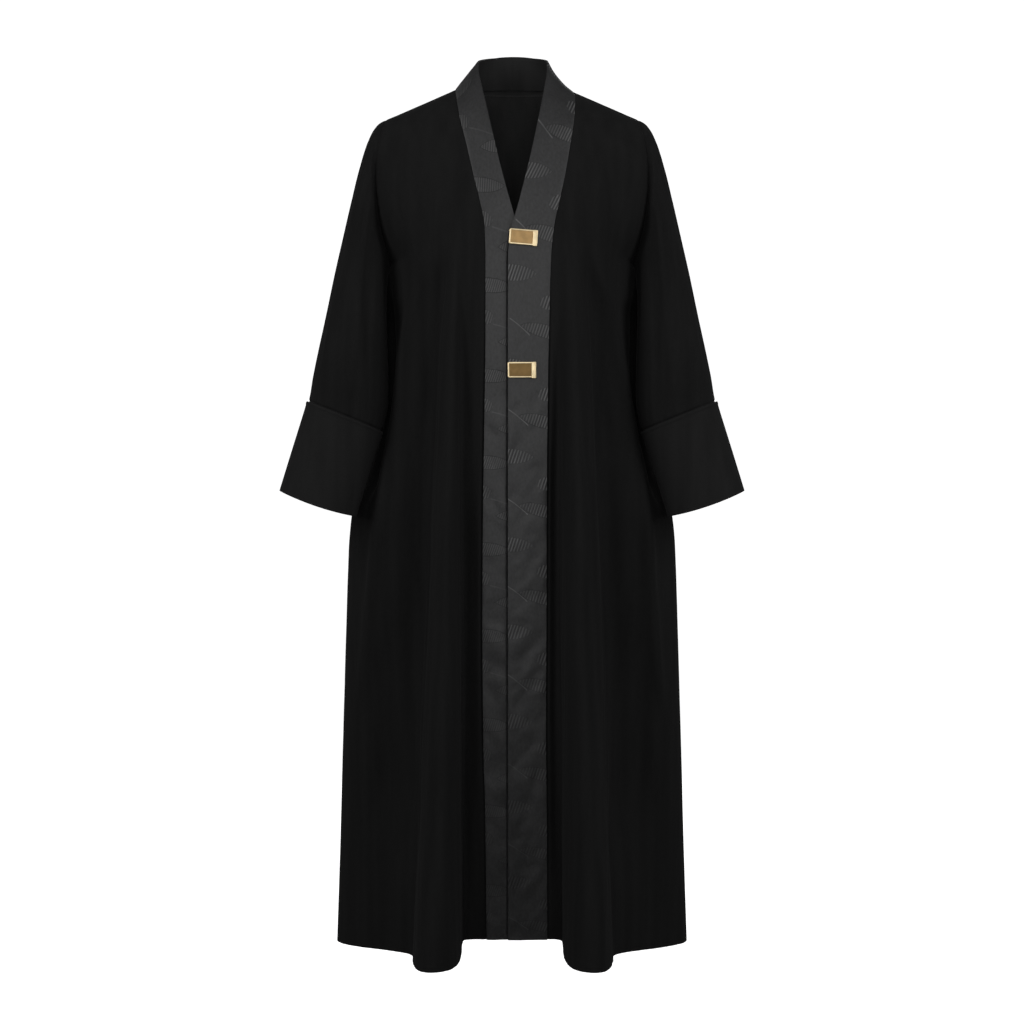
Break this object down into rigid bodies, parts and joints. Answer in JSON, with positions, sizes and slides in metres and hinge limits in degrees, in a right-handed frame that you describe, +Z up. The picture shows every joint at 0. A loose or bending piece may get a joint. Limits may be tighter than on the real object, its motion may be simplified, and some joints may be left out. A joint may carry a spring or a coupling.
{
  "type": "abaya",
  "caption": "Open-front black abaya in its worn, hollow form: flared full-length body, cuffed sleeves, charcoal satin front band from neck to hem and gold-coloured clasps.",
  "frame": {"origin": "middle of the neck opening, level with the top of the right shoulder seam, where the wearer's neck comes through", "axes": "+Z up towards the wearer's head, the front faces -Y, +X towards the wearer's left"},
  "size_m": [0.7606, 0.4434, 1.4941],
  "materials": {
    "crepe": "matte",
    "satin": "satin",
    "gold_metal": "brushed"
  },
  "bodies": {
    "root": {"front_right": "crepe", "front_left": "crepe", "back": "crepe", "sleeve_right": "crepe", "sleeve_left": "crepe", "cuff_right": "crepe", "cuff_left": "crepe", "facing_right": "crepe", "facing_left": "crepe", "band_right": "satin", "band_left": "satin", "clasp_upper": "gold_metal", "clasp_lower": "gold_metal"}
  },
  "joints": []
}
